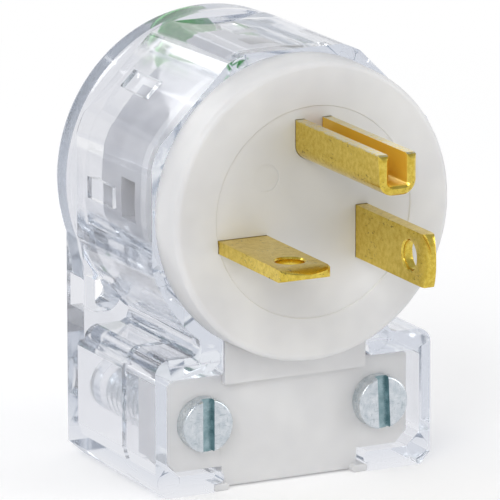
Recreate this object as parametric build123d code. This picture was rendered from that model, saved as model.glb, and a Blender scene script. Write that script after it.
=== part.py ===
from build123d import *
from math import cos, radians, sin
import os

# Right-angle grounding plug in a clear housing, in millimetres.
# The origin is the middle of the blade face. The blades point along -Y, the
# cord leaves along -Z, and +Z is up.

# Blade face
face_radius = 18.05
face_rear_radius = 18.2
face_thickness = 5.1
face_edge_radius = 0.8
face_recess_radius = 12.7
face_recess_depth = 0.12
face_mark_radius = 1.65
face_mark_depth = 0.1
face_mark_spot = (-6.2, 4.75)

# Spigot behind the face, with the groove that locks it in the housing
spigot_radius = 16.7
spigot_depth = 4.9
groove_setback = 1.3
groove_width = 2.2
groove_radius = 15.5
groove_play = 0.1

# Clear housing
wall = 1.5
drum_radius = 19.65
drum_flat_distance = 18.6
drum_flat_angles = (0, 45, 90, 135, 180)
bore_clearance = 0.35
flange_radius = 19.47
flange_front = 25.7
flange_rear = 30.4
flange_edge_radius = 1.2
plate_front = 24.6
plate_rear = 29.4
plate_foot_chamfer = 1.3
rear_wall = 1.9
box_half_width = 18.3
box_height = 16.87
box_floor = 2.5
box_roof = 2.55
box_foot_chamfer = 1.42
box_shoulder_radius = 1.8
cavity_foot_chamfer = 1.6
cavity_head_chamfer = 0.6
neck_half_width = 12.9
neck_height = 1.8
neck_shoulder_half_width = 12.2
neck_flare_radius = 1.2
passage_half_width = 8.2

# Index lugs in the drum and the notches that take them
lug_count = 8
lug_width = 2.6
lug_front = 16.9
lug_rear = 23.8
lug_inner_radius = 15.3
lug_play = 0.2

# Retaining lip at the top of the bore
lip_half_angle = 20

# Openings through the back plate, beside the neck
pocket_width = 3.3
pocket_height = 4.0
pocket_rise = 3.4
pocket_round = 1.9

# Ejector pin marks
mark_depth = 0.12
rim_mark_radius = 1.05
rim_mark_ring_radius = 18.55
rim_mark_count = 8
arm_mark_radius = 1.45
arm_mark_x = 11.1
arm_mark_drop = 0.6
foot_mark_x = 16.6
foot_mark_rise = 1.97

# Cord clamp
arm_gap_left = 9.35
arm_gap_right = 10.0
arm_corner_radius = 0.45
lip_gap_half_width = 9.3
lip_nose_radius = 0.7
lip_notch_left = 1.35
lip_notch_right = 0.75
lip_notch_height = 1.0
clamp_side_play = 0.33
clamp_plate_front = 6.3
clamp_plate_thickness = 2.5
clamp_plate_edge_play = 0.25
clamp_plate_right_play = 0.9
clamp_neck_front = 5.35
clamp_neck_foot_drop = 3.9
clamp_skirt = 2.4
clamp_skirt_width = 1.5
clamp_rib_height = 1.4
clamp_rib_width = 1.2
clamp_rib_pitch = 3.2
clamp_rib_count = 3
clamp_tail_lift = 0.3
clamp_foot_front = 5.3
clamp_foot_width = 2.0
clamp_foot_round = 0.4
clamp_foot_play = 0.12

# Cord way through the foot of the box
cord_way_radius = 7.0
cord_play = 0.1

# Clamp screws and their bosses
clamp_screw_x = 11.66
clamp_screw_drop = 8.44
clamp_screw_shank = 4.0
clamp_screw_length = 19.05
clamp_screw_head = 6.5
clamp_screw_head_height = 1.96
clamp_screw_slot = 1.5
clamp_screw_slot_depth = 0.75
clamp_screw_hole_play = 0.4
screw_tip_play = 0.5
screw_head_round = 0.25
screw_tip_chamfer = 0.4
boss_radius = 3.5
boss_front = 14.0
boss_web = 1.2
thread_play = 0.1

# Blades
blade_width = 6.35
blade_thickness = 1.52
blade_line = -2.88
hot_blade_length = 18.0
neutral_blade_length = 17.2
hot_blade_inner = 5.59
neutral_blade_outer = -12.47
blade_hole = 3.5
blade_hole_chamfer = 0.2
hot_hole_from_tip = 4.8
neutral_hole_from_tip = 5.2
blade_tip_radius = 5.2
blade_corner_radius = 0.5
blade_tip_chamfer = 0.5
blade_tip_bevel = 1.8
bend_radius = 0.7

# Ground pin, a U folded from sheet, open at the top
pin_width = 4.7
pin_height = 4.8
pin_sheet = 1.15
pin_top = 11.31
pin_length = 21.2
pin_bottom_radius = 1.7
pin_tip_radius = 0.9
pin_tip_chamfer = 0.35

# Wiring feet, terminals and their chambers
foot_length = 8.3
foot_width = 8.0
pin_foot_length = 9.2
slot_play = 0.04
foot_play = 0.15
chamber_ledge = 0.6
terminal_shank = 3.9
terminal_head = 6.0
terminal_head_height = 2.0
terminal_slot = 1.1
terminal_slot_depth = 0.9
terminal_length = 7.0
terminal_hole_play = 0.1
wire_gap = 2.4
wire_plate_sheet = 1.3
wire_plate_play = 0.2
wire_plate_groove_depth = 0.3
wire_plate_groove_width = 0.4
wire_plate_groove_gap = 0.7
window_width = 5.2

# Carrier
carrier_depth = 11.0
carrier_edge_chamfer = 0.5
carrier_screw_ring_radius = 12.7
carrier_screw_angles = {"left": 131, "right": 49, "bottom": 270}
carrier_screw_shank = 2.9
carrier_screw_head = 4.8
carrier_screw_head_height = 1.8
carrier_screw_bite = 5.5
carrier_screw_play = 0.1
carrier_screw_floor = 7.0
carrier_screw_slot = 0.8
carrier_screw_slot_depth = 0.8

# Green mark on the rear
dot_radius = 3.0
dot_thickness = 0.4
dot_middle = (-2.0, 14.6)

# How far cutting shapes reach past the faces they cut
overcut = 1.0

# Places worked out from the sizes above
spigot_rear = face_thickness + spigot_depth
groove_front = face_thickness + groove_setback
groove_rear = groove_front + groove_width
carrier_rear = spigot_rear + carrier_depth
bore_radius = spigot_radius + bore_clearance
bore_floor = flange_rear - rear_wall
neck_top = -((drum_radius**2 - neck_shoulder_half_width**2) ** 0.5)
box_top = neck_top - neck_height
box_bottom = box_top - box_height
box_inner_half_width = box_half_width - wall
cavity_bottom = box_bottom + box_floor
cavity_top = box_top - box_roof
cavity_rear = plate_rear - rear_wall
clamp_plate_rear = clamp_plate_front + clamp_plate_thickness
clamp_slot_rear = clamp_plate_rear + clamp_side_play
cord_way_middle = clamp_plate_rear + clamp_rib_height + cord_play + cord_way_radius
clamp_plate_left = -box_inner_half_width + clamp_plate_edge_play
clamp_plate_right = box_inner_half_width - clamp_plate_edge_play - clamp_plate_right_play
clamp_plate_top = cavity_top - clamp_plate_edge_play
clamp_plate_bottom = cavity_bottom + clamp_plate_edge_play
lip_notch_top = box_bottom + lip_notch_height
pocket_middle = box_top + pocket_rise
arm_mark_spot = (arm_mark_x, box_top - arm_mark_drop)
foot_mark_spot = (foot_mark_x, box_bottom + foot_mark_rise)
clamp_neck_foot = box_top - clamp_neck_foot_drop
clamp_screw_z = box_top - clamp_screw_drop
terminal_plate_front = spigot_rear + blade_thickness + wire_gap


def along_y(sketch, front, rear):
    # Sketches are drawn with x to the right and y up, as seen from the blades.
    plane = Plane(origin=(0, rear, 0), x_dir=(1, 0, 0), z_dir=(0, -1, 0))
    return extrude(plane * sketch, rear - front)


def rod(radius, spot, front, rear):
    return along_y(Pos(*spot) * Circle(radius), front, rear)


def limits(low_x, high_x, low_z, high_z):
    middle = Pos((low_x + high_x) / 2, (low_z + high_z) / 2)
    return middle * Rectangle(high_x - low_x, high_z - low_z)


def polar(radius, angle):
    return (radius * cos(radians(angle)), radius * sin(radians(angle)))


def both_sides(spot):
    return [(-spot[0], spot[1]), (spot[0], spot[1])]


# Clear housing

def drum_outline():
    outline = Circle(drum_radius)
    for angle in drum_flat_angles:
        beyond = Pos(drum_flat_distance + drum_radius, 0) * Rectangle(2 * drum_radius, 2 * drum_radius)
        outline -= Rot(0, 0, angle) * beyond
    return outline


def box_outline(top):
    outline = limits(-box_half_width, box_half_width, box_bottom, top)
    feet = outline.vertices().sort_by(Axis.Y)[:2]
    return chamfer(feet, box_foot_chamfer)


def front_body():
    # The cord box and the front of the drum, with the neck between them.
    outline = box_outline(box_top)
    shoulders = outline.vertices().sort_by(Axis.Y)[-2:]
    outline = fillet(shoulders, box_shoulder_radius)
    # The neck runs from the box up to the drum.
    outline += Polygon(
        (-neck_half_width, box_top - box_roof / 2),
        (neck_half_width, box_top - box_roof / 2),
        (neck_half_width, box_top),
        (neck_shoulder_half_width, neck_top),
        (-neck_shoulder_half_width, neck_top),
        (-neck_half_width, box_top),
        align=None,
    )
    roof_corners = outline.vertices().group_by(Axis.Y)[-2].sort_by(Axis.X)[1:3]
    outline = fillet(roof_corners, neck_flare_radius)
    outline += drum_outline()
    drum_corners = [v for v in outline.vertices() if abs(v.Y - neck_top) < neck_flare_radius / 10]
    return along_y(fillet(drum_corners, neck_flare_radius), face_thickness, plate_front)


def back_plate():
    plate = along_y(box_outline(0), plate_front, plate_rear)
    heel = plate.edges().filter_by(Axis.X).group_by(Axis.Z)[0].sort_by(Axis.Y)[-1]
    return chamfer(heel, plate_foot_chamfer)


def rear_flange():
    flange = rod(flange_radius, (0, 0), flange_front, flange_rear)
    rim = flange.edges().filter_by(GeomType.CIRCLE).sort_by(Axis.Y)[-1]
    return fillet(rim, flange_edge_radius)


def cavity_outline():
    outline = limits(-box_inner_half_width, box_inner_half_width, cavity_bottom, cavity_top)
    feet = outline.vertices().sort_by(Axis.Y)[:2]
    outline = chamfer(feet, cavity_foot_chamfer)
    heads = outline.vertices().sort_by(Axis.Y)[-2:]
    return chamfer(heads, cavity_head_chamfer)


def cord_slot():
    # The cord leaves downwards through a round-ended slot in the foot.
    straight = cord_way_middle - face_thickness
    slot = Pos(0, face_thickness + straight / 2) * Rectangle(2 * cord_way_radius, straight)
    slot += Pos(0, cord_way_middle) * Circle(cord_way_radius)
    return extrude(Pos(0, 0, box_bottom - overcut) * slot, box_floor + 2 * overcut)


def lip_gap():
    # The gap between the two front lips, with their rounded noses and the notches below them.
    left = -lip_gap_half_width
    right = lip_gap_half_width
    outline = limits(left, right, box_bottom - overcut, cavity_bottom + overcut)
    outline += limits(left - lip_notch_left, right + lip_notch_right, box_bottom - overcut, lip_notch_top)
    outline += limits(left - overcut, right + overcut, cavity_bottom, cavity_bottom + overcut)
    noses = outline.vertices().filter_by_position(Axis.Y, lip_notch_top, cavity_bottom)
    noses = noses.filter_by_position(Axis.X, left, right)
    return along_y(fillet(noses, lip_nose_radius), face_thickness, clamp_slot_rear)


def arm_gap():
    # The gap between the two arms, with their inner corners rounded.
    top = -(bore_radius**2 - arm_gap_right**2) ** 0.5
    outline = limits(-arm_gap_left, arm_gap_right, cavity_top - overcut, top)
    outline += limits(-arm_gap_left - overcut, arm_gap_right + overcut, cavity_top - overcut, cavity_top)
    corners = outline.vertices().group_by(Axis.Y)[1].sort_by(Axis.X)[1:3]
    return along_y(fillet(corners, arm_corner_radius), face_thickness, clamp_slot_rear)


def neck_passage():
    top = -(bore_radius**2 - passage_half_width**2) ** 0.5
    outline = limits(-passage_half_width, passage_half_width, cavity_top - overcut, top)
    return along_y(outline, face_thickness, cavity_rear)


def side_pockets():
    low = pocket_middle - pocket_height / 2
    high = pocket_middle + pocket_height / 2
    outline = limits(-box_inner_half_width, pocket_width - box_inner_half_width, low, high)
    inner = outline.vertices().sort_by(Axis.X)[-2:]
    pocket = along_y(fillet(inner, pocket_round), plate_front - overcut, flange_rear + overcut)
    return [pocket, mirror(pocket, Plane.YZ)]


def screw_bosses():
    bosses = []
    for side in (-1, 1):
        spot = (side * clamp_screw_x, clamp_screw_z)
        inner = side * passage_half_width
        outer = side * (box_inner_half_width + wall / 2)
        low = cavity_bottom - box_floor / 2
        web = limits(min(inner, outer), max(inner, outer), low, cavity_top + box_roof / 2)
        bosses.append(rod(boss_radius, spot, boss_front, cavity_rear + rear_wall / 2))
        bosses.append(along_y(web, boss_front, boss_front + boss_web))
    return bosses


def boss_holes():
    radius = clamp_screw_shank / 2 + thread_play / 2
    tip = clamp_plate_front + clamp_screw_length + screw_tip_play
    return [rod(radius, spot, boss_front, tip) for spot in both_sides((clamp_screw_x, clamp_screw_z))]


def index_lugs():
    lugs = []
    for step in range(lug_count):
        angle = 90 + step * 360 / lug_count
        if step * 2 == lug_count:
            continue
        depth = bore_radius + wall / 3 - lug_inner_radius
        bar = Rot(0, 0, angle) * Pos(lug_inner_radius + depth / 2, 0) * Rectangle(depth, lug_width)
        lugs.append(along_y(bar, lug_front, lug_rear))
    return lugs


def retaining_lip():
    # A short inward lip at the top of the bore, opposite the cord clamp's key.
    inner = groove_radius + bore_clearance
    ring = Circle(bore_radius + wall / 3) - Circle(inner)
    reach = 2 * drum_radius
    half = reach * sin(radians(lip_half_angle)) / cos(radians(lip_half_angle))
    wedge = Polygon((0, 0), (half, reach), (-half, reach), align=None)
    return along_y(ring & wedge, groove_front + groove_play, groove_rear - groove_play)


def ejector_marks():
    rear = face_thickness + mark_depth
    marks = []
    front = face_thickness - overcut
    for step in range(rim_mark_count):
        spot = polar(rim_mark_ring_radius, (step + 0.5) * 360 / rim_mark_count)
        if spot[1] > 0 or abs(spot[0]) > neck_half_width:
            marks.append(rod(rim_mark_radius, spot, front, rear))
    for spot in both_sides(arm_mark_spot) + both_sides(foot_mark_spot):
        marks.append(rod(arm_mark_radius, spot, front, rear))
    return marks


def dot_recess():
    return rod(dot_radius, dot_middle, flange_rear - dot_thickness, flange_rear + overcut)


def make_clear_housing():
    body = along_y(drum_outline(), face_thickness, flange_front)
    for piece in (front_body(), back_plate(), rear_flange()):
        body += piece
    body -= rod(bore_radius, (0, 0), face_thickness, bore_floor)
    body -= along_y(cavity_outline(), face_thickness, cavity_rear)
    body -= neck_passage()
    body -= arm_gap()
    for pocket in side_pockets():
        body -= pocket
    for piece in screw_bosses() + index_lugs():
        body += piece
    body += retaining_lip()
    body -= cord_slot()
    body -= lip_gap()
    for hole in boss_holes() + ejector_marks():
        body -= hole
    return body - dot_recess()


# Blade body, the white face with its spigot

def turned_body():
    r = face_radius - face_edge_radius
    arc_middle = (r + face_edge_radius * sin(radians(45)), face_edge_radius * (1 - cos(radians(45))))
    edge = ThreePointArc((r, 0), arc_middle, (face_radius, face_edge_radius))
    start = Polyline(
        (0, spigot_rear),
        (0, face_recess_depth),
        (face_recess_radius, face_recess_depth),
        (face_recess_radius + face_recess_depth, 0),
        (r, 0),
    )
    rest = Polyline(
        (face_radius, face_edge_radius),
        (face_rear_radius, face_thickness),
        (spigot_radius, face_thickness),
        (spigot_radius, groove_front),
        (groove_radius, groove_front),
        (groove_radius, groove_rear),
        (spigot_radius, groove_rear),
        (spigot_radius, spigot_rear),
        (0, spigot_rear),
    )
    profile = make_face(start + edge + rest)
    return revolve(profile, Axis.Y)


def hot_section(play):
    half = blade_width / 2 + play
    inner = hot_blade_inner - play
    outer = hot_blade_inner + blade_thickness + play
    return limits(inner, outer, blade_line - half, blade_line + half)


def neutral_section(play):
    half = blade_thickness / 2 + play
    outer = neutral_blade_outer - play
    inner = neutral_blade_outer + blade_width + play
    return limits(outer, inner, blade_line - half, blade_line + half)


def pin_section(play):
    bottom = pin_top - pin_height
    half = pin_width / 2 + play
    outer = limits(-half, half, bottom - play, pin_top + play)
    outer = fillet(outer.vertices().sort_by(Axis.Y)[:2], pin_bottom_radius + play)
    inner_half = pin_width / 2 - pin_sheet - play
    inner = limits(-inner_half, inner_half, bottom + pin_sheet + play, pin_top + play + overcut)
    inner = fillet(inner.vertices().sort_by(Axis.Y)[:2], pin_bottom_radius - pin_sheet)
    return outer - inner


def terminal_spots():
    hot = (hot_blade_inner + foot_length / 2, blade_line)
    neutral_foot = blade_line - blade_thickness / 2
    neutral = (neutral_blade_outer + blade_width / 2, neutral_foot + foot_length / 2)
    ground_foot = pin_top - pin_height + pin_sheet
    ground = (0, ground_foot - pin_foot_length / 2)
    return {"hot": hot, "neutral": neutral, "ground": ground}


def carrier_screw_spots():
    return {name: polar(carrier_screw_ring_radius, angle) for name, angle in carrier_screw_angles.items()}


def make_blade_body():
    body = turned_body()
    for section in (hot_section(slot_play), neutral_section(slot_play), pin_section(slot_play)):
        body -= along_y(section, -overcut, spigot_rear + overcut)
    hole = carrier_screw_shank / 2 + carrier_screw_play / 2
    tip = spigot_rear - carrier_screw_bite - screw_tip_play
    for spot in carrier_screw_spots().values():
        body -= rod(hole, spot, tip, spigot_rear + overcut)
    tip = terminal_plate_front + wire_plate_sheet - terminal_length - screw_tip_play
    for spot in terminal_spots().values():
        body -= rod(terminal_shank / 2 + foot_play, spot, tip, spigot_rear + overcut)
    return body - rod(face_mark_radius, face_mark_spot, -overcut, face_recess_depth + face_mark_depth)


# Blades

def flat_blade(length, hole_from_tip):
    # Drawn with the thickness along X and the foot towards +X, middle of width at z 0.
    leg_rear = spigot_rear + blade_thickness
    half = blade_width / 2
    side = limits(-length, leg_rear, -half, half)
    arc_middle = blade_tip_radius - length
    beyond = limits(-length - overcut, arc_middle, -half - overcut, half + overcut)
    side -= beyond - Pos(arc_middle, 0) * Circle(blade_tip_radius)
    side = fillet(side.vertices().sort_by(Axis.X)[:2], blade_corner_radius)
    side -= Pos(hole_from_tip - length, 0) * Circle(blade_hole / 2)
    plane = Plane(origin=(0, 0, 0), x_dir=(0, 1, 0), z_dir=(1, 0, 0))
    leg = extrude(plane * side, blade_thickness)
    leg = chamfer(leg.edges().filter_by(lambda edge: edge.is_closed), blade_hole_chamfer)
    for face_x, inward in ((0, 1), (blade_thickness, -1)):
        bevel = Polygon(
            (face_x - inward * overcut, -length - overcut),
            (face_x + inward * blade_tip_chamfer, -length - overcut),
            (face_x + inward * blade_tip_chamfer, -length),
            (face_x, blade_tip_bevel - length),
            (face_x - inward * overcut, blade_tip_bevel - length),
            align=None,
        )
        leg -= extrude(bevel, half + overcut, both=True)
    heel = leg.edges().filter_by(Axis.Z).sort_by(Axis.Y)[-2:].sort_by(Axis.X)[0]
    leg = fillet(heel, bend_radius)
    foot = limits(blade_thickness, foot_length, -foot_width / 2, foot_width / 2)
    foot = fillet(foot.vertices().sort_by(Axis.X)[-2:], bend_radius)
    foot = along_y(foot, spigot_rear, leg_rear)
    return leg + foot


def terminal_hole(spot):
    radius = (terminal_shank + terminal_hole_play) / 2
    return rod(radius, spot, spigot_rear - overcut, terminal_plate_front)


def make_hot_blade():
    blade = Pos(hot_blade_inner, 0, blade_line) * flat_blade(hot_blade_length, hot_hole_from_tip)
    return blade - terminal_hole(terminal_spots()["hot"])


def make_neutral_blade():
    middle = neutral_blade_outer + blade_width / 2
    turned = Rot(0, -90, 0) * flat_blade(neutral_blade_length, neutral_hole_from_tip)
    blade = Pos(middle, 0, blade_line - blade_thickness / 2) * turned
    return blade - terminal_hole(terminal_spots()["neutral"])


def make_ground_pin():
    leg_rear = spigot_rear + blade_thickness
    pin = along_y(pin_section(0), -pin_length, leg_rear)
    pin = chamfer(pin.faces().sort_by(Axis.Y)[0].edges(), pin_tip_chamfer)
    arc_middle = (pin_tip_radius - pin_length, pin_top - pin_tip_radius)
    corner = limits(-pin_length - overcut, arc_middle[0], arc_middle[1], pin_top + overcut)
    corner -= Pos(*arc_middle) * Circle(pin_tip_radius)
    side = Plane(origin=(0, 0, 0), x_dir=(0, 1, 0), z_dir=(1, 0, 0))
    pin -= extrude(side * corner, pin_width, both=True)
    top = pin_top - pin_height + pin_sheet
    low = top - pin_foot_length
    foot = limits(-foot_width / 2, foot_width / 2, low, top)
    foot = fillet(foot.vertices().sort_by(Axis.Y)[:2], bend_radius)
    pin += along_y(foot, spigot_rear, leg_rear)
    return pin - terminal_hole(terminal_spots()["ground"])


# Terminal carrier

def foot_limits(play):
    hot_high = hot_blade_inner + foot_length + play
    half = foot_width / 2 + play
    base = blade_line - blade_thickness / 2
    middle = neutral_blade_outer + blade_width / 2
    pin_high = pin_top - pin_height + pin_sheet
    return {
        "hot": (hot_blade_inner - play, hot_high, blade_line - half, blade_line + half),
        "neutral": (middle - half, middle + half, base - play, base + foot_length + play),
        "ground": (-half, half, pin_high - pin_foot_length - play, pin_high + play),
    }


def wire_window(name):
    spot = terminal_spots()[name]
    half = window_width / 2
    reach = spigot_radius + overcut
    if name == "hot":
        outline = limits(spot[0], reach, spot[1] - half, spot[1] + half)
    elif name == "neutral":
        outline = limits(-reach, spot[0], spot[1] - half, spot[1] + half)
    else:
        outline = limits(-half, half, spot[1], reach)
    return along_y(outline, spigot_rear + blade_thickness, terminal_plate_front + wire_plate_sheet)


def make_terminal_carrier():
    body = rod(spigot_radius, (0, 0), spigot_rear, carrier_rear)
    rim = body.edges().filter_by(GeomType.CIRCLE).sort_by(Axis.Y)[-1]
    body = chamfer(rim, carrier_edge_chamfer)
    recess_rear = spigot_rear + blade_thickness + slot_play / 2
    for name, edges in foot_limits(foot_play).items():
        body -= along_y(limits(*edges), spigot_rear - overcut, recess_rear)
        low_x, high_x, low_z, high_z = edges
        ledge = chamber_ledge + foot_play
        chamber = limits(low_x + ledge, high_x - ledge, low_z + ledge, high_z - ledge)
        body -= along_y(chamber, spigot_rear, carrier_rear + overcut)
        body -= wire_window(name)
    pin_room = pin_section(foot_play)
    body -= along_y(pin_room, spigot_rear - overcut, recess_rear)
    for spot in carrier_screw_spots().values():
        seat = spigot_rear + carrier_screw_floor
        shank = carrier_screw_shank / 2 + carrier_screw_play / 2
        body -= rod(shank, spot, spigot_rear - overcut, carrier_rear)
        body -= rod(carrier_screw_head / 2 + carrier_screw_play, spot, seat, carrier_rear + overcut)
    for step in range(lug_count):
        notch_depth = spigot_radius + overcut - lug_inner_radius + lug_play
        middle = lug_inner_radius - lug_play + notch_depth / 2
        notch = Pos(middle, 0) * Rectangle(notch_depth, lug_width + 2 * lug_play)
        notch = Rot(0, 0, step * 360 / lug_count) * notch
        body -= along_y(notch, lug_front - lug_play, carrier_rear + overcut)
    return body


# Terminal clamp plates and screws

def make_clamp_plate(name):
    low_x, high_x, low_z, high_z = foot_limits(0)[name]
    inset = chamber_ledge + wire_plate_play
    outline = limits(low_x + inset, high_x - inset, low_z + inset, high_z - inset)
    outline = fillet(outline.vertices(), bend_radius)
    rear = terminal_plate_front + wire_plate_sheet
    plate = along_y(outline, terminal_plate_front, rear)
    spot = terminal_spots()[name]
    front = terminal_plate_front - overcut
    plate -= rod(terminal_shank / 2 + terminal_hole_play, spot, front, rear + overcut)
    across = terminal_shank / 2 + wire_plate_groove_gap
    half = wire_plate_groove_width / 2
    for side in (-1, 1):
        if name == "hot":
            middle = spot[1] + side * across
            groove = limits(low_x, high_x, middle - half, middle + half)
        else:
            middle = spot[0] + side * across
            groove = limits(middle - half, middle + half, low_z, high_z)
        plate -= along_y(groove, front, terminal_plate_front + wire_plate_groove_depth)
    return plate


def slotted_screw(spot, seat, shank, length, head, height, slot, slot_depth, head_side):
    # The head lies on head_side of the seat: -1 towards the blades, 1 towards the rear.
    head_far = seat + head_side * height
    tip = seat - head_side * length
    body = rod(head / 2, spot, min(seat, head_far), max(seat, head_far))
    rim = body.edges().filter_by(GeomType.CIRCLE).sort_by(Axis.Y)[-1 if head_side > 0 else 0]
    body = fillet(rim, screw_head_round)
    stem = rod(shank / 2, spot, min(seat, tip), max(seat, tip))
    end = stem.edges().filter_by(GeomType.CIRCLE).sort_by(Axis.Y)[0 if head_side > 0 else -1]
    body += chamfer(end, screw_tip_chamfer)
    cut = Pos(*spot) * Rectangle(slot, head + overcut)
    slot_floor = head_far - head_side * slot_depth
    slot_out = head_far + head_side * overcut
    return body - along_y(cut, min(slot_floor, slot_out), max(slot_floor, slot_out))


def make_terminal_screw(name):
    seat = terminal_plate_front + wire_plate_sheet
    return slotted_screw(
        terminal_spots()[name], seat, terminal_shank, terminal_length,
        terminal_head, terminal_head_height, terminal_slot, terminal_slot_depth, 1,
    )


def make_carrier_screw(name):
    seat = spigot_rear + carrier_screw_floor
    length = carrier_screw_floor + carrier_screw_bite
    return slotted_screw(
        carrier_screw_spots()[name], seat, carrier_screw_shank, length,
        carrier_screw_head, carrier_screw_head_height, carrier_screw_slot, carrier_screw_slot_depth, 1,
    )


def make_clamp_screw(side):
    return slotted_screw(
        (side * clamp_screw_x, clamp_screw_z), clamp_plate_front, clamp_screw_shank, clamp_screw_length,
        clamp_screw_head, clamp_screw_head_height, clamp_screw_slot, clamp_screw_slot_depth, -1,
    )


# Cord clamp

def clamp_neck():
    left = clamp_side_play - arm_gap_left
    right = arm_gap_right - clamp_side_play
    outline = limits(left, right, clamp_neck_foot, -groove_radius / 2)
    outer = along_y(outline - Circle(bore_radius), clamp_neck_front, clamp_plate_rear)
    key = along_y(
        outline - Circle(groove_radius + bore_clearance),
        groove_front + groove_play,
        groove_rear - groove_play,
    )
    return outer + key


def clamp_plate_outline():
    outline = offset(cavity_outline(), -clamp_plate_edge_play, kind=Kind.INTERSECTION)
    return outline & Pos(-clamp_plate_right_play, 0) * outline


def clamp_feet():
    # Two small feet fill the notches under the front lips.
    left = clamp_foot_play - lip_gap_half_width - lip_notch_left
    right = lip_gap_half_width + lip_notch_right - clamp_foot_play
    top = lip_notch_top - clamp_foot_play
    feet = []
    for low_x, high_x in ((left, left + clamp_foot_width), (right - clamp_foot_width, right)):
        outline = limits(low_x, high_x, box_bottom, top)
        outline = fillet(outline.vertices(), clamp_foot_round)
        feet.append(along_y(outline, clamp_foot_front, clamp_plate_rear))
    return feet


def make_cord_clamp():
    body = along_y(clamp_plate_outline(), clamp_plate_front, clamp_plate_rear)
    tail_half = lip_gap_half_width - clamp_side_play
    tail_top = clamp_plate_bottom + overcut
    tail = limits(-tail_half, tail_half, box_bottom + clamp_tail_lift, tail_top)
    body += along_y(tail, clamp_plate_front, clamp_plate_rear)
    body += clamp_neck()
    for foot in clamp_feet():
        body += foot
    inside = clamp_plate_front + clamp_plate_thickness / 2
    low = clamp_plate_bottom + cavity_foot_chamfer
    high = clamp_plate_top - cavity_head_chamfer
    for low_x in (clamp_plate_left, clamp_plate_right - clamp_skirt_width):
        skirt = limits(low_x, low_x + clamp_skirt_width, low, high)
        body += along_y(skirt, inside, clamp_plate_rear + clamp_skirt)
    for step in range(clamp_rib_count):
        middle = clamp_screw_z + (step - (clamp_rib_count - 1) / 2) * clamp_rib_pitch
        length = 2 * (clamp_screw_x - boss_radius - clamp_side_play)
        rib = Pos(0, middle) * Rectangle(length, clamp_rib_width)
        body += along_y(rib, inside, clamp_plate_rear + clamp_rib_height)
    for spot in both_sides((clamp_screw_x, clamp_screw_z)):
        hole = clamp_screw_shank / 2 + clamp_screw_hole_play / 2
        body -= rod(hole, spot, clamp_plate_front - overcut, clamp_plate_rear + overcut)
    return body


def make_green_dot():
    return rod(dot_radius, dot_middle, flange_rear - dot_thickness, flange_rear)


def make_parts():
    parts = {
        "clear_housing": make_clear_housing(),
        "blade_body": make_blade_body(),
        "terminal_carrier": make_terminal_carrier(),
        "hot_blade": make_hot_blade(),
        "neutral_blade": make_neutral_blade(),
        "ground_pin": make_ground_pin(),
        "cord_clamp": make_cord_clamp(),
        "clamp_screw_left": make_clamp_screw(-1),
        "clamp_screw_right": make_clamp_screw(1),
        "green_dot": make_green_dot(),
    }
    for name in ("hot", "neutral", "ground"):
        parts[name + "_clamp_plate"] = make_clamp_plate(name)
        parts[name + "_terminal_screw"] = make_terminal_screw(name)
    for name in carrier_screw_angles:
        parts["carrier_screw_" + name] = make_carrier_screw(name)
    return parts


os.makedirs("parts", exist_ok=True)
for node, shape in make_parts().items():
    export_step(shape, "parts/" + node + ".step")
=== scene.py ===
import math

import bmesh
import bpy
from mathutils import Matrix, Vector


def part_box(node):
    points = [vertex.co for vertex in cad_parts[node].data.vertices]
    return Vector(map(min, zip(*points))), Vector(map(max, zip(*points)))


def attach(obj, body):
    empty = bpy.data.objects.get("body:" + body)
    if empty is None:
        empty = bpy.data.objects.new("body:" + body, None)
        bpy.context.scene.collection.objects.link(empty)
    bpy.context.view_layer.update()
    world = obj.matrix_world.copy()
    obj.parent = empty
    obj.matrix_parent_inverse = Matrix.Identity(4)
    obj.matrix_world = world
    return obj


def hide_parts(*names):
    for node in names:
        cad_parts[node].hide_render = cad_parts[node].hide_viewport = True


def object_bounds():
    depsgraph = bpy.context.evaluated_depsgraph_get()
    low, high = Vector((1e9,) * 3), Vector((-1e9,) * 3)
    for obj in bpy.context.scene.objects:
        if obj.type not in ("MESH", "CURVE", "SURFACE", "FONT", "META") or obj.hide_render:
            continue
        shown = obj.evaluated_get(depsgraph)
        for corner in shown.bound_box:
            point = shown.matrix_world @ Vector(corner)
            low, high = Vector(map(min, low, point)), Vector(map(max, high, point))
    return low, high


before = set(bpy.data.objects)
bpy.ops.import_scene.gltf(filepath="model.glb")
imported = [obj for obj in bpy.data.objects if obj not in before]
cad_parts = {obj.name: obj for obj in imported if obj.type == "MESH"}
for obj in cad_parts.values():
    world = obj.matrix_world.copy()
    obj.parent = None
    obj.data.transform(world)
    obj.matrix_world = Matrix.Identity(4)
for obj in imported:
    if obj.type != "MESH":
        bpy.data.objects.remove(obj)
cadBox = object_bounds()
mm = 0.001  # sizes in the dictionaries are millimetres, Blender works in metres
floorHeight = cadBox[0].z


# Colours, nodes and objects

mostNoise = (0.3, 0.7)  # nearly all of a noise's values
midNoise = (0.35, 0.65)  # a narrower band, for patches with firmer borders
colourMix = {"data_type": "RGBA", "output": 2}  # such a Mix node has its factor in 0, colours in 6 and 7


def linearColour(hexColour):
    # "#RRGGBB" as a paint chart gives it, turned to the linear values that the shaders take
    channels = []
    for start in (1, 3, 5):
        value = int(hexColour[start:start + 2], 16) / 255
        channels.append(value / 12.92 if value <= 0.04045 else ((value + 0.055) / 1.055) ** 2.4)
    return (*channels, 1.0)


def addNode(tree, kind, inputs=(), output=0, **settings):
    # inputs go by the sockets' names or order: a value, a "#RRGGBB" colour or another node's output
    node = tree.nodes.new("ShaderNode" + kind)
    for name, value in settings.items():
        setattr(node, name, value)
    for socket, value in inputs.items() if isinstance(inputs, dict) else enumerate(inputs):
        if isinstance(value, bpy.types.NodeSocket):
            tree.links.new(value, node.inputs[socket])
        else:
            node.inputs[socket].default_value = linearColour(value) if isinstance(value, str) else value
    return node.outputs[output] if node.outputs else node


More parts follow.
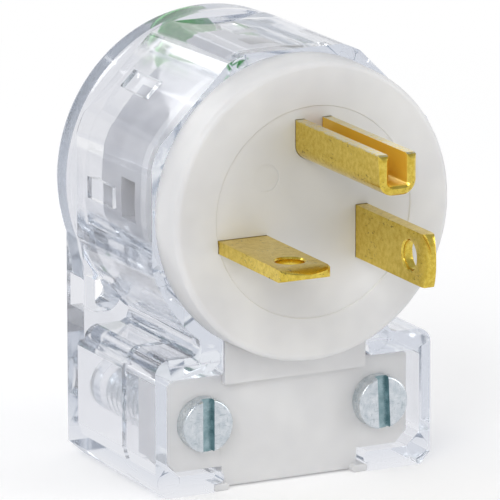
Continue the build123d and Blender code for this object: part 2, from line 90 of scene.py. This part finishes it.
def newMaterial(name):
    material = bpy.data.materials.new(name)
    material.use_nodes = True
    material.node_tree.nodes.clear()
    return material, material.node_tree


def patches(tree, size, stretch=(1, 1, 1), **look):
    # a noise pattern on the object's own coordinates, whose blobs measure about size millimetres
    place = addNode(tree, "TexCoord", output="Object")
    place = addNode(tree, "Mapping", {"Vector": place, "Scale": stretch})
    looks = {"Detail": 3.0, "Roughness": 0.5, "Distortion": 0.0, **look}
    return addNode(tree, "TexNoise", {"Vector": place, "Scale": 1 / (size * mm), **looks})


def absorbed(tree, tint, depth):
    # a volume that takes white light down to the tint over depth millimetres
    losses = [-math.log(channel) / (depth * mm) for channel in linearColour(tint)[:3]]
    colour = [1 - loss / max(losses) for loss in losses]
    return addNode(tree, "VolumeAbsorption", [(*colour, 1.0), max(losses)])


def addObject(name, data):
    item = bpy.data.objects.new(name, data)
    bpy.context.scene.collection.objects.link(item)
    return item


# Materials

polycarbonate = {"tint": "#FCFCFD", "shadowTint": "#D9DCE3", "ior": 1.585,
                 "polish": (0.02, 0.1), "polishPatch": 2.5, "polishBand": (0.35, 0.7),
                 "wave": 6.0, "waveHeight": 0.012, "thick": "#EDF0F4", "thickDepth": 20}


def clearPolycarbonate():
    # clear polycarbonate from a polished mould: bright edges, a cool tint where it is thick
    clear = polycarbonate
    material, tree = newMaterial("clearPolycarbonate")
    patch = patches(tree, clear["polishPatch"])
    wave = patches(tree, clear["wave"], Detail=1.0)
    body = addNode(tree, "BsdfPrincipled", {
        "Base Color": clear["tint"], "IOR": clear["ior"], "Transmission Weight": 1.0,
        "Roughness": addNode(tree, "MapRange", [patch, *clear["polishBand"], *clear["polish"]]),
        "Normal": addNode(tree, "Bump", {
            "Height": wave, "Distance": clear["waveHeight"] * mm, "Strength": 1.0})})
    passed = addNode(tree, "BsdfTransparent", [clear["shadowTint"]])
    shadowRay = addNode(tree, "LightPath", output="Is Shadow Ray")
    mixed = addNode(tree, "MixShader", [shadowRay, body, passed])
    addNode(tree, "OutputMaterial", [mixed, absorbed(tree, clear["thick"], clear["thickDepth"])])
    return material


nylon = {"light": "#E6E6E6", "dark": "#DDDDDE", "ior": 1.53,
         "scatter": (1.0, 0.94, 0.88), "depth": 1.2, "share": 0.35,
         "gloss": (0.36, 0.5), "cloud": 7.0, "spark": 0.35, "sparkHeight": 0.006,
         # the grey, centre and fade distances of the painted shade in the middle of the blade face
         "behind": "#CACAC9", "behindMiddle": (0.8, 0, 3.5), "behindFrom": 13.5, "behindTo": 4.0}


def mouldedNylon(name="mouldedNylon", light=nylon["light"], dark=nylon["dark"], shadedThinFace=False):
    # natural nylon, injection moulded: milky, light soaks in and glows round the brass
    material, tree = newMaterial(name)
    cloud = addNode(tree, "MapRange", [patches(tree, nylon["cloud"], Detail=2.0), *midNoise])
    colour = addNode(tree, "Mix", {0: cloud, 6: light, 7: dark}, **colourMix)
    if shadedThinFace:  # painted shade: a soft grey in the middle of the face, between the blades, standing for the shade there and for the metal showing through the thinner nylon
        place = addNode(tree, "TexCoord", output="Object")
        middle = Vector(nylon["behindMiddle"]) * mm
        reach = addNode(tree, "VectorMath", [place, middle], output="Value", operation="DISTANCE")
        shade = addNode(tree, "MapRange", [reach, nylon["behindFrom"] * mm, nylon["behindTo"] * mm])
        colour = addNode(tree, "Mix", {0: shade, 6: colour, 7: nylon["behind"]}, **colourMix)
    spark = patches(tree, nylon["spark"])  # coarser than the real texture, so that the picture shows it
    body = addNode(tree, "BsdfPrincipled", {
        "Base Color": colour, "IOR": nylon["ior"],
        "Subsurface Weight": nylon["share"], "Subsurface Radius": nylon["scatter"],
        "Subsurface Scale": nylon["depth"] * mm,
        "Roughness": addNode(tree, "MapRange", [spark, *mostNoise, *nylon["gloss"]]),
        "Normal": addNode(tree, "Bump", {
            "Height": spark, "Distance": nylon["sparkHeight"] * mm, "Strength": 1.0})})
    addNode(tree, "OutputMaterial", [body])
    return material


brass = {"light": "#EDD263", "dark": "#D6B844", "stain": "#5E5529", "gloss": (0.12, 0.24),
         "mottle": 0.6, "mottleBand": (0.36, 0.64),
         "speck": 0.3, "speckStretch": (1, 0.45, 1), "speckBand": (0.6, 0.66),
         "bunch": 2.2, "bunchStretch": (1, 0.6, 1), "bunchBand": (0.5, 0.6), "bunchMost": 0.75,
         "draw": 0.22, "drawStretch": (1, 0.12, 1), "drawHeight": 0.003,
         "wave": 2.4, "waveHeight": 0.02}
# the channel colour and its lower metal are painted light: a glow for light bouncing between the pin's
# walls
earthPin = {"worn": "#DDD6B4", "wornFrom": 11.16, "wornBand": (0.4, 0.55), "top": 20,
            "channel": "#EBC348", "channelHalf": 1.22, "channelFloor": 7.6, "channelGlowMetal": 0.3}


def within(tree, value, low, high):
    # 1 where the value lies between the two millimetre limits
    above = addNode(tree, "Math", [value, low * mm], operation="GREATER_THAN")
    below = addNode(tree, "Math", [value, high * mm], operation="LESS_THAN")
    return addNode(tree, "Math", [above, below], operation="MULTIPLY")


def foldedPin(tree, colour, mottle):
    # pale worn rims, and a painted glow: the open channel between its walls is coloured orange gold and
    # made less metallic, standing for light bouncing between them
    half, top = earthPin["channelHalf"], earthPin["top"]
    place = addNode(tree, "TexCoord", output="Object")
    across = addNode(tree, "SeparateXYZ", [place], output="X")
    height = addNode(tree, "SeparateXYZ", [place], output="Z")
    worn = addNode(tree, "MapRange", [mottle, *earthPin["wornBand"]])
    edge = within(tree, height, earthPin["wornFrom"], top)
    rim = addNode(tree, "Math", [edge, worn], operation="MULTIPLY")
    between = within(tree, across, -half, half)
    raised = within(tree, height, earthPin["channelFloor"], top)
    inside = addNode(tree, "Math", [between, raised], operation="MULTIPLY")
    colour = addNode(tree, "Mix", {0: rim, 6: colour, 7: earthPin["worn"]}, **colourMix)
    # painted light: the glow of light bouncing inside the channel
    colour = addNode(tree, "Mix", {0: inside, 6: colour, 7: earthPin["channel"]}, **colourMix)
    return colour, addNode(tree, "MapRange", [inside, 0.0, 1.0, 1.0, earthPin["channelGlowMetal"]])


def stampedBrass(name="stampedBrass", light=brass["light"], dark=brass["dark"], folded=False):
    # cold rolled brass strip, blanked in a press: warm yellow, mottled, dark specks and draw lines
    material, tree = newMaterial(name)
    mottle = patches(tree, brass["mottle"], Detail=5.0, Roughness=0.65)
    speck = patches(tree, brass["speck"], brass["speckStretch"], Roughness=0.6)
    bunch = patches(tree, brass["bunch"], brass["bunchStretch"], Detail=1.0)
    wave = patches(tree, brass["wave"], Detail=1.0)
    lines = patches(tree, brass["draw"], brass["drawStretch"])
    tone = addNode(tree, "MapRange", [mottle, *brass["mottleBand"]])
    speck = addNode(tree, "MapRange", [speck, *brass["speckBand"]])
    bunch = addNode(tree, "MapRange", [bunch, *brass["bunchBand"], 0.0, brass["bunchMost"]])
    specks = addNode(tree, "Math", [speck, bunch], operation="MULTIPLY")
    colour = addNode(tree, "Mix", {0: tone, 6: light, 7: dark}, **colourMix)
    colour = addNode(tree, "Mix", {0: specks, 6: colour, 7: brass["stain"]}, **colourMix)
    metal = 1.0
    if folded:
        colour, metal = foldedPin(tree, colour, mottle)
    waved = addNode(tree, "Bump", {
        "Height": wave, "Distance": brass["waveHeight"] * mm, "Strength": 1.0})
    body = addNode(tree, "BsdfPrincipled", {
        "Base Color": colour, "Metallic": metal,
        "Roughness": addNode(tree, "MapRange", [mottle, *mostNoise, *brass["gloss"]]),
        "Normal": addNode(tree, "Bump", {
            "Height": lines, "Distance": brass["drawHeight"] * mm, "Strength": 1.0, "Normal": waved})})
    addNode(tree, "OutputMaterial", [body])
    return material


plating = {"pale": "#E6EAEC", "dull": "#CCD4D8", "rub": "#8E9C9F", "rubBand": (0.62, 0.7),
           "rubMost": 0.55, "scratch": 0.13, "scratchHeight": 0.004, "scratchWander": 0.8,
           "across": (0.12, 1, 1), "along": (1, 1, 0.12), "gloss": (0.2, 0.36), "cloud": 0.9}


def zincPlatedSteel(name="zincPlatedSteel", pale=plating["pale"], dull=plating["dull"]):
    # bright zinc on steel: blue white, rubbed with fine crossing scratches
    material, tree = newMaterial(name)
    cloud = addNode(tree, "MapRange", [patches(tree, plating["cloud"], Detail=4.0), *midNoise])
    ways = [patches(tree, plating["scratch"], plating[way], Distortion=plating["scratchWander"])
            for way in ("across", "along")]
    scratches = addNode(tree, "Math", ways, operation="MAXIMUM")
    rubbed = addNode(tree, "MapRange", [scratches, *plating["rubBand"], 0.0, plating["rubMost"]])
    colour = addNode(tree, "Mix", {0: cloud, 6: pale, 7: dull}, **colourMix)
    body = addNode(tree, "BsdfPrincipled", {
        "Base Color": addNode(tree, "Mix", {0: rubbed, 6: colour, 7: plating["rub"]}, **colourMix),
        "Metallic": 1.0,
        "Roughness": addNode(tree, "MapRange", [scratches, *mostNoise, *plating["gloss"]]),
        "Normal": addNode(tree, "Bump", {
            "Height": scratches, "Distance": plating["scratchHeight"] * mm, "Strength": 1.0})})
    addNode(tree, "OutputMaterial", [body])
    return material


greenMark = {"body": "#4FB05C", "worn": "#8CCB93", "wornBand": (0.55, 0.7), "gloss": (0.4, 0.55),
             "streak": 0.45, "streakStretch": (1, 1, 0.3), "depth": 1.2}


def printedGreen():
    # pad printed green on the clear back: thin ink, streaky, with the light behind coming through
    material, tree = newMaterial("printedGreen")
    streak = patches(tree, greenMark["streak"], greenMark["streakStretch"])
    worn = addNode(tree, "MapRange", [streak, *greenMark["wornBand"]])
    body = addNode(tree, "BsdfPrincipled", {
        "Base Color": addNode(tree, "Mix", {
            0: worn, 6: greenMark["body"], 7: greenMark["worn"]}, **colourMix),
        "Subsurface Weight": 1.0, "Subsurface Radius": (1.0, 1.0, 1.0),
        "Subsurface Scale": greenMark["depth"] * mm,
        "Roughness": addNode(tree, "MapRange", [streak, *mostNoise, *greenMark["gloss"]])})
    addNode(tree, "OutputMaterial", [body])
    return material


finishes = {
    "clear": clearPolycarbonate(),
    "nylon": mouldedNylon(),
    # the blade face, with painted shade in its middle
    "faceNylon": mouldedNylon("faceNylon", shadedThinFace=True),
    # the same nylon in the shade inside the drum: a flat grey through the clear wall
    "innerNylon": mouldedNylon("shadedNylon", "#CDCDCF", "#BABABE"),
    "brass": stampedBrass(),
    "foldedBrass": stampedBrass("foldedBrass", folded=True),
    # the pressure plates' brass, browner than the blades
    "darkBrass": stampedBrass("rolledBrass", "#C9A348", "#A88430"),
    "zinc": zincPlatedSteel(),
    # the floor and walls of a screw's slot: a darker blue green, painted shade for the slot's recess
    "slot": zincPlatedSteel("slotShadedSteel", "#A9C0C4", "#86A2A6"),
    # nickel on steel marks the neutral side: warmer and greyer than zinc
    "nickel": zincPlatedSteel("nickelPlatedSteel", "#D6D2CA", "#B9B4AA"),
    # green plating marks the earth screw
    "green": zincPlatedSteel("greenPlatedSteel", "#3F9A55", "#2F7D45"),
    "ink": printedGreen(),
}
nodeFinish = {
    "clear_housing": "clear", "green_dot": "ink",
    "blade_body": "faceNylon", "terminal_carrier": "innerNylon", "cord_clamp": "nylon",
    "hot_blade": "brass", "neutral_blade": "brass", "ground_pin": "foldedBrass",
    "carrier_screw_left": "zinc", "carrier_screw_right": "zinc", "carrier_screw_bottom": "zinc",
    "hot_clamp_plate": "darkBrass", "hot_terminal_screw": "darkBrass",
    "neutral_clamp_plate": "nickel", "neutral_terminal_screw": "nickel",
    "ground_clamp_plate": "darkBrass", "ground_terminal_screw": "green",
}
for node, finish in nodeFinish.items():
    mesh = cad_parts[node].data
    mesh.materials.clear()
    mesh.materials.append(finishes[finish])
print("finishes on", len(nodeFinish), "nodes")


# Edges broken as pressing and moulding leave them

edgeBreak = {"hot_blade": 0.1, "neutral_blade": 0.1, "ground_pin": 0.12,
             "cord_clamp": 0.35, "clear_housing": 0.12}
edgeStyle = {"weld": 0.001, "segments": 2, "fromDegrees": 34}


def breakEdges(node, width):
    weld = node.modifiers.new("weld", "WELD")
    weld.merge_threshold = edgeStyle["weld"] * mm
    bevel = node.modifiers.new("edgeBreak", "BEVEL")
    bevel.width, bevel.segments = width * mm, edgeStyle["segments"]
    bevel.limit_method, bevel.angle_limit = "ANGLE", math.radians(edgeStyle["fromDegrees"])
    node.modifiers.new("evenNormals", "WEIGHTED_NORMAL")


for name, width in edgeBreak.items():
    breakEdges(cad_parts[name], width)
print("edges broken on", len(edgeBreak), "nodes")


# Clamp screws: cheese heads, turned and slotted, on a rolled thread that bites into the bosses

clampScrew = {"turn": {"left": 0.0, "right": 2.5}, "headRadius": 3.25, "headHeight": 1.96,
              "headAround": 64, "rim": 0.28, "rimSegments": 3, "slot": 1.5, "slotDepth": 0.75,
              "shank": 1.95, "neck": 1.6, "overlap": 0.15,
              "crest": 2.2, "root": 1.5, "pitch": 1.35, "crestShare": 0.12, "flankShare": 0.3,
              "point": 1.6, "pointShare": 0.35, "around": 48, "sharp": 32}
hair = 1e-7  # metres: corners nearer than this are the same corner
cutHair = 1e-8  # metres: corners nearer than this to a cut lie on it


def seatAndLength(name):
    # from the CAD screw that the piece replaces: the middle under its head, and its reach behind it
    low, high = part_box("clamp_screw_" + name)
    seat = (low + high) / 2
    seat.y = low.y + clampScrew["headHeight"] * mm
    return seat, high.y - seat.y


def cutAt(bm, place, normal, **kept):
    bmesh.ops.bisect_plane(bm, geom=bm.verts[:] + bm.edges[:] + bm.faces[:], dist=cutHair,
                           plane_co=place, plane_no=normal, **kept)


def closeHoles(bm, slot=0):
    bmesh.ops.edgeloop_fill(bm, edges=[edge for edge in bm.edges if edge.is_boundary], mat_nr=slot)


def markSharp(bm, degrees):
    for face in bm.faces:
        face.smooth = True
    for edge in bm.edges:
        edge.smooth = edge.calc_face_angle(0) < math.radians(degrees)


def slottedHead(bm):
    # the head stands on z 0 with its slot along y
    screw = clampScrew
    radius, height = screw["headRadius"] * mm, screw["headHeight"] * mm
    floor, half = height - screw["slotDepth"] * mm, screw["slot"] / 2 * mm
    bmesh.ops.create_cone(bm, cap_ends=True, segments=screw["headAround"], radius1=radius,
                          radius2=radius, depth=height, matrix=Matrix.Translation((0, 0, height / 2)))
    rim = [edge for edge in bm.edges if all(vert.co.z > height - hair for vert in edge.verts)]
    bmesh.ops.bevel(bm, geom=rim, offset=screw["rim"] * mm, segments=screw["rimSegments"],
                    profile=0.5, affect="EDGES", material=-1)
    for side in (-1, 1):
        cutAt(bm, (side * half, 0, 0), (1, 0, 0))
    cutAt(bm, (0, 0, floor), (0, 0, 1))
    middles = {face: face.calc_center_median() for face in bm.faces}
    lost = [face for face, middle in middles.items() if abs(middle.x) < half - hair and middle.z > floor]
    bmesh.ops.delete(bm, geom=lost, context="FACES")
    for side in (-1, 1):
        onWall = {vert for vert in bm.verts
                  if abs(vert.co.x - side * half) < hair and vert.co.z > floor - hair}
        bm.edges.new([vert for vert in bm.verts if vert in onWall and abs(vert.co.z - floor) < hair])
        wall = [edge for edge in bm.edges if onWall.issuperset(edge.verts)]
        bmesh.ops.edgeloop_fill(bm, edges=wall, mat_nr=1)
    closeHoles(bm, slot=1)


def rolledThread(bm, length):
    # one turn's outline, screwed down the shank and cut off flat at both ends
    screw = clampScrew
    root, crest, pitch = screw["root"] * mm, screw["crest"] * mm, screw["pitch"] * mm
    flank, top = screw["flankShare"], screw["crestShare"]
    start, point = screw["neck"] * mm, screw["point"] * mm
    turns = math.ceil((length - start) / pitch) + 2
    outline = [(0, root), (flank, crest), (flank + top, crest), (2 * flank + top, root), (1, root)]
    corners = [bm.verts.new((radius, 0, -start + pitch * (1 - share))) for share, radius in outline]
    edges = [bm.edges.new(pair) for pair in zip(corners, corners[1:])]
    bmesh.ops.spin(bm, geom=corners + edges, cent=(0, 0, 0), axis=(0, 0, 1), angle=-math.tau * turns,
                   dvec=(0, 0, -pitch / screw["around"]), steps=screw["around"] * turns)
    bmesh.ops.remove_doubles(bm, verts=bm.verts, dist=hair)
    cutAt(bm, (0, 0, -start), (0, 0, 1), clear_outer=True)
    cutAt(bm, (0, 0, -length), (0, 0, 1), clear_inner=True)
    closeHoles(bm)
    for vert in bm.verts:
        reach = (point - length - vert.co.z) / point
        taper = 1 - screw["pointShare"] * min(max(reach, 0), 1)
        vert.co.x, vert.co.y = vert.co.x * taper, vert.co.y * taper


def plainShank(bm):
    # the neck between head and thread, let into both
    shank, neck, overlap = (clampScrew[key] * mm for key in ("shank", "neck", "overlap"))
    bmesh.ops.create_cone(bm, cap_ends=True, segments=clampScrew["around"], radius1=shank,
                          radius2=shank, depth=neck + 2 * overlap,
                          matrix=Matrix.Translation((0, 0, -neck / 2)))


def addShape(bm, shape, *sizes):
    part = bmesh.new()
    shape(part, *sizes)
    mesh = bpy.data.meshes.new("part")
    part.to_mesh(mesh)
    part.free()
    bm.from_mesh(mesh)
    bpy.data.meshes.remove(mesh)


def turnedScrew(name):
    seat, length = seatAndLength(name)
    bm = bmesh.new()
    addShape(bm, slottedHead)
    addShape(bm, rolledThread, length)
    addShape(bm, plainShank)
    bmesh.ops.recalc_face_normals(bm, faces=bm.faces)
    markSharp(bm, clampScrew["sharp"])
    forward = Matrix.Rotation(math.pi / 2, 4, "X")
    turn = Matrix.Rotation(math.radians(clampScrew["turn"][name]), 4, "Z")
    bmesh.ops.transform(bm, matrix=Matrix.Translation(seat) @ forward @ turn, verts=bm.verts)
    mesh = bpy.data.meshes.new(name + "ClampScrew")
    bm.to_mesh(mesh)
    bm.free()
    # the second finish, on the slot's floor and walls, is painted shade
    for finish in ("zinc", "slot"):
        mesh.materials.append(finishes[finish])
    piece = addObject(name + "ClampScrew", mesh)
    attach(piece, "root")
    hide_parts("clamp_screw_" + name)
    return piece


for name in clampScrew["turn"]:
    piece = turnedScrew(name)
    print(piece.name, len(piece.data.polygons), "faces")


# Camera, as the photograph was taken: a long lens from the left, a little above

view = {"azimuth": -26.617, "elevation": 13.917, "roll": -0.077, "distance": 761.28,
        "right": 7.495, "up": 4.417, "lens": 468, "sensor": 36, "near": 50, "far": 20000}


def placeCamera():
    azimuth, elevation = math.radians(view["azimuth"]), math.radians(view["elevation"])
    level = math.cos(elevation)
    back = Vector((math.sin(azimuth) * level, -math.cos(azimuth) * level, math.sin(elevation)))
    roll = Matrix.Rotation(math.radians(view["roll"]), 3, "Z")
    turn = (-back).to_track_quat("-Z", "Y").to_matrix() @ roll
    at = (back * view["distance"] - turn.col[0] * view["right"] - turn.col[1] * view["up"]) * mm
    camera = addObject("camera", bpy.data.cameras.new("camera"))
    camera.data.lens, camera.data.sensor_width = view["lens"], view["sensor"]
    camera.data.clip_start, camera.data.clip_end = view["near"] * mm, view["far"] * mm
    camera.matrix_world = Matrix.Translation(at) @ turn.to_4x4()
    bpy.context.scene.camera = camera


placeCamera()
print("camera placed")


# Studio: pale floor, white room with greyer ceiling and front, three soft lamps

room = {"fill": 0.62, "white": "#FFFFFF", "ceiling": "#AEB3BC", "ceilingBand": (0.25, 0.75),
        "front": "#DCDEE3", "frontBand": (0.1, -0.6), "bounces": 40,
        "floorPale": "#F4F4F5", "floorSeen": "#EBECF0", "nearFloor": 70, "farFloor": 260,
        "floorLift": 0.22, "floorSide": 6000}


def bentRay(tree):
    # 1 for rays that come by way of the clear or of bright metal
    glossy = addNode(tree, "LightPath", output="Is Glossy Ray")
    through = addNode(tree, "LightPath", output="Is Transmission Ray")
    return addNode(tree, "Math", [glossy, through], operation="MAXIMUM")


def paintRoom():
    world = bpy.data.worlds.new("room")
    bpy.context.scene.world = world
    world.use_nodes = True
    tree = world.node_tree
    tree.nodes.clear()
    place = addNode(tree, "TexCoord", output="Generated")
    depth = addNode(tree, "SeparateXYZ", [place], output="Y")
    height = addNode(tree, "SeparateXYZ", [place], output="Z")
    front = addNode(tree, "MapRange", [depth, *room["frontBand"]])
    high = addNode(tree, "MapRange", [height, *room["ceilingBand"]])
    walls = addNode(tree, "Mix", {0: front, 6: room["white"], 7: room["front"]}, **colourMix)
    walls = addNode(tree, "Mix", {0: high, 6: walls, 7: room["ceiling"]}, **colourMix)
    lit = addNode(tree, "Background", [room["white"], room["fill"]])
    bent = addNode(tree, "Background", [walls, 1.0])
    seen = addNode(tree, "Background", [room["white"], 1.0])
    inside = addNode(tree, "MixShader", [bentRay(tree), lit, bent])
    cameraRay = addNode(tree, "LightPath", output="Is Camera Ray")
    addNode(tree, "OutputWorld", [addNode(tree, "MixShader", [cameraRay, inside, seen])])


def paleFloor():
    # a pale card, lifted to plain white away from the plug
    material, tree = newMaterial("paleFloor")
    place = addNode(tree, "TexCoord", output="Object")
    reach = addNode(tree, "VectorMath", [place], output="Value", operation="LENGTH")
    far = addNode(tree, "MapRange", [reach, room["nearFloor"] * mm, room["farFloor"] * mm])
    card = addNode(tree, "BsdfDiffuse", [room["floorPale"]])
    lift = addNode(tree, "Emission", [room["white"], room["floorLift"]])
    white = addNode(tree, "Emission", [room["white"], 1.0])
    near = addNode(tree, "AddShader", [card, lift])
    seen = addNode(tree, "MixShader", [far, near, white])
    diffuseRay = addNode(tree, "LightPath", output="Is Diffuse Ray")
    lit = addNode(tree, "MixShader", [diffuseRay, seen, card])
    bent = addNode(tree, "Emission", [room["floorSeen"], 1.0])
    addNode(tree, "OutputMaterial", [addNode(tree, "MixShader", [bentRay(tree), lit, bent])])
    return material


def layFloor():
    bm = bmesh.new()
    bmesh.ops.create_grid(bm, x_segments=1, y_segments=1, size=room["floorSide"] / 2 * mm)
    bmesh.ops.translate(bm, verts=bm.verts, vec=(0, 0, floorHeight))
    mesh = bpy.data.meshes.new("floor")
    bm.to_mesh(mesh)
    bm.free()
    mesh.materials.append(paleFloor())
    addObject("floor", mesh)


softLamps = {  # place and aim in millimetres, width and height of the box, watts
    "keyLamp": {"at": (-420, -420, 420), "aim": (0, 0, 0), "box": (300, 300), "power": 1.5},
    "sideLamp": {"at": (480, -330, 180), "aim": (0, 0, 0), "box": (200, 380), "power": 0.6},
    "backLamp": {"at": (-260, 480, 380), "aim": (0, 10, 0), "box": (360, 200), "power": 0.7},
}


def hangLamps():
    for name, lamp in softLamps.items():
        light = bpy.data.lights.new(name, "AREA")
        light.shape, light.energy = "RECTANGLE", lamp["power"]
        light.size, light.size_y = lamp["box"][0] * mm, lamp["box"][1] * mm
        at, aim = Vector(lamp["at"]) * mm, Vector(lamp["aim"]) * mm
        turn = (aim - at).to_track_quat("-Z", "Y").to_matrix().to_4x4()
        addObject(name, light).matrix_world = Matrix.Translation(at) @ turn


paintRoom()
layFloor()
hangLamps()
bpy.context.scene.view_settings.view_transform = "Standard"
tracing = bpy.context.scene.cycles
tracing.max_bounces = tracing.glossy_bounces = tracing.transmission_bounces = room["bounces"]
print("studio lit")
